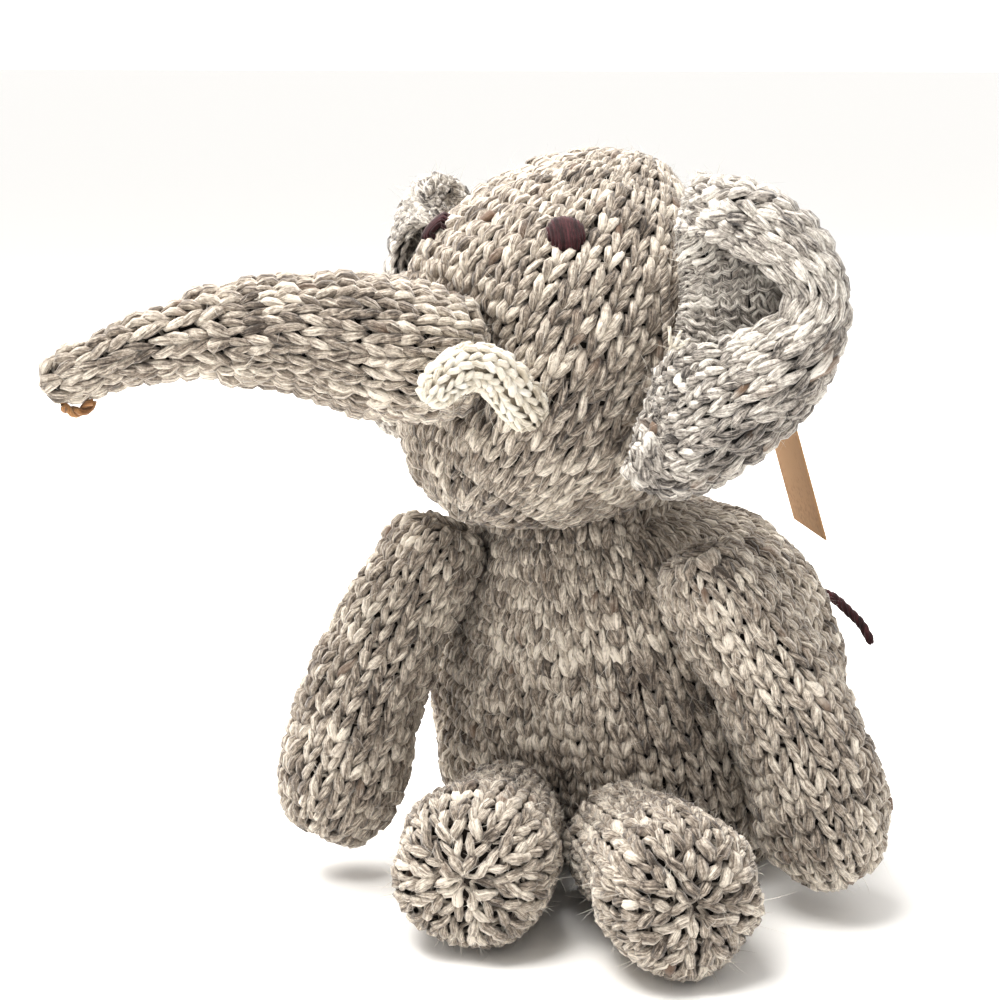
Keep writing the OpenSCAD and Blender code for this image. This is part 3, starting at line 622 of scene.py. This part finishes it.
ear_span = 0.0193           # half the sewn edge
ear_reach = 0.073           # from the sewn edge to the rim
face_gap = 0.0014           # from the lining to each knitted face
ear_roots = {"left": (0.0296, -0.0477, 0.1595), "right": (-0.0577, -0.0124, 0.1595)}
for side, sign in (("left", 1), ("right", -1)):
    ear_out = unit(sign * 0.7314 * head_x + 0.6617 * head_y - 0.165 * head_z)
    ear_fwd = unit(sign * 0.682 * head_x - 0.7096 * head_y + 0.1769 * head_z)
    ear_up = unit(0.2419 * head_y + 0.9703 * head_z)
    root = np.array(ear_roots[side])
    across, along = 26, 24
    panel = np.zeros((along, across, 3))
    for i in range(across):
        f = i / (across - 1)
        e = math.radians(84 - 190 * f)
        low = 0.5 - 0.5 * math.cos(math.pi * min(1, max(0, (f - 0.38) / 0.3)))
        past = max(0.0, -math.degrees(e) - 80) / 26
        reach = ear_reach * (0.55 - 0.15 * max(0, math.sin(e)) ** 3)
        reach -= ear_span * abs(1 - 2 * f) * abs(math.sin(e)) * 0.8
        reach *= 1 - 0.22 * past
        if sign < 0:
            reach *= 1 - 0.26 * max(0, math.sin(e))
        crease = math.exp(-((f - 0.40) / 0.07) ** 2)
        q = reach * (0.215 + 0.035 * low) * (1 - 0.25 * crease)
        flat = reach - q
        back = 0.010 + 0.013 * low - 0.004 * crease
        whole = flat + math.pi * q + back
        for j in range(along):
            s = whole * j / (along - 1)
            if s < flat:
                x, y = s + 0.0022, 0.004 * math.sin(math.pi * s / flat)
            elif s < flat + math.pi * q:
                a = (s - flat) / q
                x, y = flat + q * math.sin(a), q - q * math.cos(a)
            else:
                d = s - flat - math.pi * q
                x, y = flat - d, 2 * q - d * 0.28
            y += 0.007 * past + 0.004 * crease * min(1, s / flat)
            wave = math.sin(9.0 * f + 1.7 * math.sin(5 * j / along))
            wave = wave * math.sin(3.1 * j / along + 2 * f * sign)
            y += 0.0022 * wave * min(1, s / flat)
            x += 0.0015 * math.sin(13 * f + 2.5 * sign) * min(1, s / flat)
            panel[j, i] = (root + ear_up * ear_span * (1 - 2 * f)
                           + (ear_out * math.cos(e) + ear_up * math.sin(e)) * x + ear_fwd * y)
    du = np.gradient(panel, axis=1)
    dv = np.gradient(panel, axis=0)
    front = unit(np.cross(du, dv))
    if np.dot(front[2, across // 2], ear_fwd) < 0:
        front = -front
    if sign > 0:
        tuft_place = panel[-1, 17] - front[-1, 17] * 0.002
        toward_eye = -ear_out
    faces = []
    for j in range(along - 2):
        for i in range(1, across - 2):
            k = j * across + i
            faces.append((k, k + 1, k + across + 1, k + across))
    mesh = bpy.data.meshes.new(side + "_ear_panel")
    mesh.from_pydata([tuple(p) for p in panel.reshape(-1, 3)], [], faces)
    sheet = bpy.data.objects.new(side + "_ear_panel", mesh)
    bpy.context.collection.objects.link(sheet)
    bpy.ops.object.select_all(action="DESELECT")
    sheet.select_set(True)
    bpy.context.view_layer.objects.active = sheet
    wall = sheet.modifiers.new("wall", "SOLIDIFY")
    wall.thickness = 0.0018
    wall.offset = 0
    bpy.ops.object.modifier_apply(modifier=wall.name)
    sheet.data.shade_smooth()
    # the core panel carries the painted shade seen between the ear's stitches
    sheet.data.materials.append(ear_shadow)
    outer, outer_halo = knit(side + "_ear_outside", (panel - front * face_gap).transpose(1, 0, 2), 15, 27,
                             seed=30 + sign, closed=False, skip=0.6, thick=1.12)
    inner, inner_halo = knit(side + "_ear_inside", (panel + front * face_gap).transpose(1, 0, 2), 15, 27,
                             seed=40 + sign, closed=False, skip=0.6, purl=True, thick=1.12)
    for piece in (outer, inner):
        piece.data.materials.append(ear_wool)
    for piece in (outer_halo, inner_halo):
        piece.data.materials.append(halo_wool)
    for piece in (sheet, outer, inner, outer_halo, inner_halo):
        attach(piece, side + "_ear")
        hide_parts(side + "_ear")

# ---- Tusks --------------------------------------------------------------------------------------
# Two small cream strips, knitted in finer wool and rolled into tubes. They arch up and forward from
# the cheeks, on each side of the trunk, and are sewn on at their lower ends.
cream_wool = wool("cream_tusk_wool", (0.42, 0.36, 0.28), (0.80, 0.735, 0.62), (0.94, 0.91, 0.83),
                  (0.60, 0.52, 0.40), streak=0.30)


def sleeve(path, radii, columns, rings, flat=0.8):
    """Rings round a curved line, closed at both ends."""
    path, radii = np.array(path, float), np.array(radii, float)
    fine = np.linspace(0, len(path) - 1, rings + 1)
    curve = surface(np.repeat(path[:, None], 4, axis=1), np.zeros(len(fine)), fine, True)
    r = np.interp(fine, np.arange(len(radii)), radii)
    t = unit(np.gradient(curve, axis=0))
    first = unit(np.cross(t, np.broadcast_to(np.array((0.46, -0.86, 0.2)), t.shape)))
    second = np.cross(t, first)
    turn = np.arange(columns) * 2 * math.pi / columns
    ring = (np.cos(turn)[None, :, None] * first[:, None]
            + flat * np.sin(turn)[None, :, None] * second[:, None])
    end = np.sqrt(np.clip(1 - (np.abs(np.linspace(-1, 1, rings + 1)) ** 10), 0, 1))
    return curve[:, None] + ring * (r * end)[:, None, None]


tusk_line = np.array([(2.2, -71.5, 133.5), (0.5, -79.0, 140.5), (-1.5, -86.0, 147.3), (-5.0, -93.0, 149.5),
                      (-8.8, -98.8, 146.8), (-11.5, -102.5, 142.0)]) / 1000
neck = np.array((-0.010, -0.020, 0.1022))
for side, sign in (("left", 1), ("right", -1)):
    line = tusk_line
    if sign < 0:
        line = tusk_line[0] + (tusk_line - tusk_line[0]) * 0.72
        line = line - 2 * ((line - neck) @ head_x)[:, None] * head_x
    form = sleeve(line, [0.0044, 0.0051, 0.0050, 0.0047, 0.0043, 0.0036], 14, 24)
    core = bag_mesh(side + "_tusk_core", form)
    settle(core, form, 0.0007)
    core.data.materials.append(cream_wool)
    knitted, halo = knit(side + "_tusk_knit", form, 7, 14, seed=50 + sign, width=0.0036, thick=0.62, skip=0.5,
                         fuzz=0.8)
    knitted.data.materials.append(cream_wool)
    halo.data.materials.append(halo_wool)
    for piece in (core, knitted, halo):
        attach(piece, side + "_tusk")
        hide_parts(side + "_tusk")

# ---- Eyes ---------------------------------------------------------------------------------------
# Each eye is an oval of satin stitch in dark maroon thread, worked straight through the head. A second
# layer of threads lies on the first, and their ends sink between the stitches of wool.
maroon_thread = wool("maroon_thread", (0.010, 0.002, 0.003), (0.035, 0.008, 0.010), (0.10, 0.03, 0.035),
                     (0.02, 0.005, 0.005), roughness=0.7, streak=0.3, bump=0.00015, sheen=0.15)
head_skin = BVHTree.FromPolygons([v.co for v in head_bag.data.vertices],
                                 [p.vertices for p in head_bag.data.polygons])
eye_turn = {"left": 0, "right": 24}    # degrees round the head, toward the face
thread_points = 12
thread_radius = 0.00056
for number, side in enumerate(("left", "right")):
    chance = np.random.default_rng(60 + number)
    dots = np.array([v.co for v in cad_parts[side + "_eye"].data.vertices])
    gaze = dots.mean(axis=0) - head_middle
    closer = Matrix.Rotation(math.radians(eye_turn[side]), 3, Vector(head_z))
    gaze = np.array(closer @ Vector(gaze))
    centre, outward, _, _ = head_skin.ray_cast(Vector(head_middle + gaze * 2), Vector(-gaze))
    centre, outward = np.array(centre), np.array(outward)
    centre = centre + outward * 0.0024
    upright = unit(head_z - outward * np.dot(head_z, outward))
    sideways = np.cross(upright, outward)
    places, outs, sizes, lines = [], [], [], []
    for layer, (count, tall) in enumerate(((10, 0.0046), (12, 0.0052))):
        for k in range(count):
            x = -0.92 + 1.84 * k / (count - 1)
            y_end = math.sqrt(1 - x * x * 0.98) * (1 + 0.05 * chance.standard_normal())
            for m in range(thread_points):
                at_end = m in (0, thread_points - 1)
                y = y_end * (-1 + 2 * m / (thread_points - 1))
                dome = math.sqrt(max(0.0, 1 - 0.8 * x * x - 0.8 * y * y / 1.1))
                sunk = 0.0022 if at_end else 0
                stray = 0.0002 * chance.standard_normal() * at_end
                place = (centre + sideways * (x * 0.0048 + stray) + upright * y * tall
                         + outward * (0.0004 + 0.0022 * dome + layer * 0.0003 - sunk))
                places.append(place)
                outs.append(outward)
                sizes.append(thread_radius)
            lines.append((len(places) - thread_points, thread_points))
    count = len(places)
    tone, brown = plain_tone(count, chance, 0.5, 0.16)
    eye = tubes(side + "_eye_stitches", np.array(places), np.array(outs), np.array(sizes), lines, 6,
                tone, brown, closed=False)
    eye.data.materials.append(maroon_thread)
    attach(eye, "head")
    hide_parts(side + "_eye")

# ---- Tail ---------------------------------------------------------------------------------------
# A short tail of the maroon thread, three thick strands twisted together and sewn in at one end. It
# follows the middle of the tail's solid from root to tip.
tail_root = np.array((0.01606, 0.04917, 0.06354))
dots = np.array([v.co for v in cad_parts["tail"].data.vertices])
away = np.linalg.norm(dots - tail_root, axis=1)
cuts = np.linspace(0, away.max() * 1.001, 10)
tail_path = np.array([dots[(away >= cuts[k]) & (away < cuts[k + 1])].mean(axis=0) for k in range(9)
                      if ((away >= cuts[k]) & (away < cuts[k + 1])).any()])


def twisted(name, path, radius, plies, turns, chance, sides=7, taper=0.8):
    """Strands laid round each other along a line."""
    path = np.array(path, float)
    count = 60
    fine = np.linspace(0, len(path) - 1, count)
    curve = surface(np.repeat(path[:, None], 4, axis=1), np.zeros(count), fine, True)
    t = unit(np.gradient(curve, axis=0))
    first = unit(np.cross(t, np.broadcast_to(np.array((0.3, 0.2, 1.0)), t.shape)))
    second = np.cross(t, first)
    places, outs, sizes, lines = [], [], [], []
    for ply in range(plies):
        angle = 2 * math.pi * (np.arange(count) / (count - 1) * turns + ply / plies)
        ray = np.cos(angle)[:, None] * first + np.sin(angle)[:, None] * second
        strand = radius / (1 + 1 / math.sin(math.pi / plies)) * 1.12
        close = 1 - (1 - taper) * np.linspace(0, 1, count) ** 3
        close[-2:] *= (0.8, 0.45)
        places.append(curve + ray * (radius - strand) * close[:, None])
        outs.append(ray)
        sizes.append(strand * close)
        lines.append((ply * count, count))
    tone, brown = plain_tone(count * plies, chance, 0.5, 0.15)
    return tubes(name, np.concatenate(places), np.concatenate(outs), np.concatenate(sizes), lines, sides,
                 tone, brown, closed=False)


tail = twisted("tail_strands", tail_path, 0.0019, 3, 6, np.random.default_rng(70))
tail.data.materials.append(maroon_thread)
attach(tail, "tail")
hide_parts("tail")

# ---- Loose ends ---------------------------------------------------------------------------------
# A few ends of yarn are left where the pieces were sewn: a white tuft on the edge of the left ear, and
# a dab of amber yarn under the tip of the trunk.


def short_end(name, points, radius, material, body, seed):
    end = twisted(name, points, radius, 2, 1.5, np.random.default_rng(seed), sides=6, taper=0.7)
    end.data.materials.append(material)
    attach(end, body)


tip = trunk_grid[27].mean(axis=0)
below = np.array((0, 0, -1.0))
toward = unit(np.array((0.5, -0.8, 0.0)))
amber_wool = wool("amber_wool", (0.10, 0.04, 0.012), (0.30, 0.14, 0.05), (0.50, 0.28, 0.12),
                  (0.2, 0.1, 0.03))
start = tip + below * 0.0070 + toward * 0.0015
dab_line = [start - trunk_way * 0.004, start + below * 0.0022 - trunk_way * 0.001,
            start + below * 0.0016 + trunk_way * 0.002, start + trunk_way * 0.0035 + toward * 0.001]
short_end("trunk_tip_dab", dab_line, 0.0017, amber_wool, "trunk", 91)
for k, (rise, lean) in enumerate(((0.006, -0.003), (0.004, -0.005), (0.0065, 0.000))):
    a_way = head_z * rise + unit(toward_eye) * lean
    short_end("ear_tuft_%d" % k, [tuft_place, tuft_place + a_way * 0.5 + toward * 0.001, tuft_place + a_way],
              0.0007, cream_wool, "left_ear", 95 + k)

# ---- Swing tag ----------------------------------------------------------------------------------
# A small folded card of brown kraft board, blank, that hangs on a loop of thread behind the neck. Its
# fold and its hole are in the card's own shape, and only the look is added here.
kraft = bpy.data.materials.new("kraft_card")
kraft.use_nodes = True
tree = kraft.node_tree
shader = tree.nodes["Principled BSDF"]
shader.inputs["Roughness"].default_value = 0.85
place = node_of(tree, "ShaderNodeTexCoord")
pulp = node_of(tree, "ShaderNodeTexNoise", Scale=700.0, Detail=4.0)
cloud = node_of(tree, "ShaderNodeTexNoise", Scale=60.0, Detail=3.0)
both = node_of(tree, "ShaderNodeMath", operation="ADD")
ramp = node_of(tree, "ShaderNodeValToRGB")
ramp.color_ramp.elements[0].position = 0.7
ramp.color_ramp.elements[0].color = (0.33, 0.19, 0.095, 1)
ramp.color_ramp.elements[1].position = 1.25 / 1.3
ramp.color_ramp.elements[1].color = (0.44, 0.27, 0.14, 1)
grain = node_of(tree, "ShaderNodeBump", Strength=0.4, Distance=0.0001)
tree.links.new(place.outputs["Object"], pulp.inputs["Vector"])
tree.links.new(place.outputs["Object"], cloud.inputs["Vector"])
tree.links.new(pulp.outputs[0], both.inputs[0])
tree.links.new(cloud.outputs[0], both.inputs[1])
tree.links.new(both.outputs[0], ramp.inputs[0])
tree.links.new(ramp.outputs[0], shader.inputs["Base Color"])
tree.links.new(pulp.outputs[0], grain.inputs["Height"])
tree.links.new(grain.outputs[0], shader.inputs["Normal"])
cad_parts["swing_tag"].data.materials.clear()
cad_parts["swing_tag"].data.materials.append(kraft)

# ---- Sewing yarn and thread ---------------------------------------------------------------------
# The yarn that closes the openings and sews the pieces together is two strands laid round each other,
# in place of plain rings and rods. The tag's thread keeps its shape and gets a pale cotton look.


def fluff(name, dark, light, scale, bump):
    material = bpy.data.materials.new(name)
    material.use_nodes = True
    tree = material.node_tree
    shader = tree.nodes["Principled BSDF"]
    shader.inputs["Roughness"].default_value = 0.95
    shader.inputs["Sheen Weight"].default_value = 0.3
    place = node_of(tree, "ShaderNodeTexCoord")
    noise = node_of(tree, "ShaderNodeTexNoise", Scale=scale, Detail=5.0, Roughness=0.7)
    ramp = node_of(tree, "ShaderNodeValToRGB")
    ramp.color_ramp.elements[0].position = 0.3
    ramp.color_ramp.elements[0].color = (*dark, 1)
    ramp.color_ramp.elements[1].position = 0.7
    ramp.color_ramp.elements[1].color = (*light, 1)
    rough = node_of(tree, "ShaderNodeBump", Strength=0.8, Distance=bump)
    tree.links.new(place.outputs["Object"], noise.inputs["Vector"])
    tree.links.new(noise.outputs[0], ramp.inputs[0])
    tree.links.new(ramp.outputs[0], shader.inputs["Base Color"])
    tree.links.new(noise.outputs[0], rough.inputs["Height"])
    tree.links.new(rough.outputs[0], shader.inputs["Normal"])
    return material


tag_thread = fluff("pale_tag_thread", (0.40, 0.36, 0.30), (0.70, 0.66, 0.58), 900.0, 0.0001)
body_of_yarn = {"neck_seam_yarn": "neck", "trunk_seam_yarn": "trunk_root",
                "left_ear_yarn": "head", "right_ear_yarn": "head",
                "left_shoulder_yarn": "left_arm", "right_shoulder_yarn": "right_arm",
                "left_hip_yarn": "left_leg", "right_hip_yarn": "right_leg"}
ear_roll = 2.5              # the ears' seams stand up this much thicker, and meet the ear's edge
for number, (name, body) in enumerate(body_of_yarn.items()):
    dots = np.array([v.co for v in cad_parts[name].data.vertices])
    centre = (dots.max(axis=0) + dots.min(axis=0)) / 2
    axes = np.linalg.svd(dots - dots.mean(axis=0), full_matrices=False)[2]
    span = np.abs((dots - centre) @ axes.T).max(axis=0)
    if "_ear_" in name:
        path = [centre + axes[0] * span[0] * k for k in (-1, -0.6, -0.2, 0.2, 0.6, 1)]
        seam = twisted(name + "_strand", path, span[2] * ear_roll, 2, 7,
                       np.random.default_rng(80 + number))
    else:
        middle_of_ring = span[0] - span[2]
        path = [centre + middle_of_ring * (math.cos(a) * axes[0] + math.sin(a) * axes[1])
                for a in np.linspace(0, 2 * math.pi * 1.02, 22)]
        seam = twisted(name + "_strand", path, span[2], 2, int(middle_of_ring * 900),
                       np.random.default_rng(80 + number), taper=1.0)
    seam.data.materials.append(grey_marl)
    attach(seam, body)
    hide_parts(name)
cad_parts["tag_loop"].data.materials.clear()
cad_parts["tag_loop"].data.materials.append(tag_thread)

# ---- Floor and light ----------------------------------------------------------------------------
# A plain white table top in a bright room, with a large window behind and to the left. The ceiling
# fills the top of the toy, and the room behind the camera gives a little light back.
bpy.ops.object.select_all(action="DESELECT")
bpy.ops.mesh.primitive_plane_add(size=80, location=(0, 0, 0))
floor = bpy.context.object
floor.name = "floor"
floor_white = bpy.data.materials.new("floor_white")
floor_white.use_nodes = True
floor_white.node_tree.nodes["Principled BSDF"].inputs["Base Color"].default_value = (0.97, 0.965, 0.955, 1)
floor_white.node_tree.nodes["Principled BSDF"].inputs["Roughness"].default_value = 0.8
floor.data.materials.append(floor_white)
world = bpy.data.worlds.new("bright_room")
bpy.context.scene.world = world
world.use_nodes = True
tree = world.node_tree
tree.nodes["Background"].inputs["Color"].default_value = (1.0, 0.99, 0.975, 1)
way = node_of(tree, "ShaderNodeTexCoord")
window_way = node_of(tree, "ShaderNodeVectorMath", operation="DOT_PRODUCT")
window_way.inputs[1].default_value = (-0.58, 0.74, 0.34)
glow = node_of(tree, "ShaderNodeMapRange")
glow.inputs["From Min"].default_value = -0.3
glow.inputs["From Max"].default_value = 0.75
glow.inputs["To Min"].default_value = 0.56
glow.inputs["To Max"].default_value = 1.4
tree.links.new(way.outputs["Generated"], window_way.inputs[0])
tree.links.new(window_way.outputs["Value"], glow.inputs["Value"])
tree.links.new(glow.outputs["Result"], tree.nodes["Background"].inputs["Strength"])


def soft_light(name, place, size, power, tint):
    bpy.ops.object.light_add(type="AREA", location=place)
    lamp = bpy.context.object
    lamp.name = name
    lamp.data.size = size
    lamp.data.energy = power
    lamp.data.color = tint
    lamp.rotation_euler = (Vector(place) - Vector((0, 0, 0.1))).to_track_quat("Z", "Y").to_euler()


soft_light("window", (-0.75, 0.55, 0.95), 0.6, 15, (1.0, 0.99, 0.97))
soft_light("ceiling", (-0.18, -0.28, 0.95), 0.55, 12, (1.0, 0.985, 0.96))
soft_light("room", (0.6, -0.9, 0.5), 1.0, 1.4, (1.0, 0.98, 0.95))
bpy.context.scene.view_settings.view_transform = "Standard"
bpy.context.scene.view_settings.gamma = 0.86
